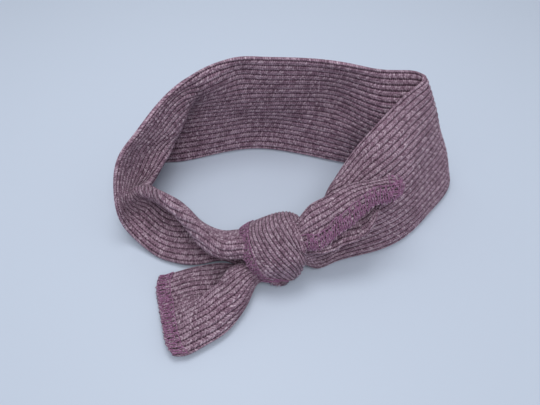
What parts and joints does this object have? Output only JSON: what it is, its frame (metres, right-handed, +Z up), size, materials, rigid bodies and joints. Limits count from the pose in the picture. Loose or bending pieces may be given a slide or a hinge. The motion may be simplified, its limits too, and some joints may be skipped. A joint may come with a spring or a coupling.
{
  "type": "knotted headband",
  "caption": "Rib-knit fabric headband, a soft closed loop drawn together at the front by a knotted strip with two short tails.",
  "frame": {"origin": "on the surface the headband rests on, under the middle of its box", "axes": "+X to the wearer's-left side of the loop as it lies, along its longest side; +Y from the knot to the back of the loop; +Z up"},
  "size_m": [0.1895, 0.1536, 0.0655],
  "materials": {
    "rib_knit": "heathered rib knit, matt and slightly fuzzy",
    "overlock_thread": "dense thread edging, matt"
  },
  "bodies": {
    "band": {"band_front_left": "rib_knit", "band_left_side": "rib_knit", "band_back": "rib_knit", "band_right_side": "rib_knit", "band_end_seam": "overlock_thread", "tie_wrap": "rib_knit", "tie_back_turn": "rib_knit", "tie_tuck": "rib_knit", "wrap_edge_overlock": "overlock_thread"},
    "left_tail_end": {"left_tail": "rib_knit", "left_tail_end_overlock": "overlock_thread"},
    "right_tail_end": {"right_tail_top_layer": "rib_knit", "right_tail_under_layer": "rib_knit", "right_tail_edge_overlock": "overlock_thread", "right_tail_end_overlock": "overlock_thread"}
  },
  "joints": [
    {"name": "left_tail_lift", "type": "hinge", "parent": "band", "child": "left_tail_end", "pos_m": [-0.024, -0.0363, 0.006], "axis": [-0.866, 0.5, 0], "range_deg": [0, 40]},
    {"name": "right_tail_lift", "type": "hinge", "parent": "band", "child": "right_tail_end", "pos_m": [0.00456, -0.0183, 0.02643], "axis": [0.3531, -0.7101, -0.6091], "range_deg": [0, 75]}
  ]
}
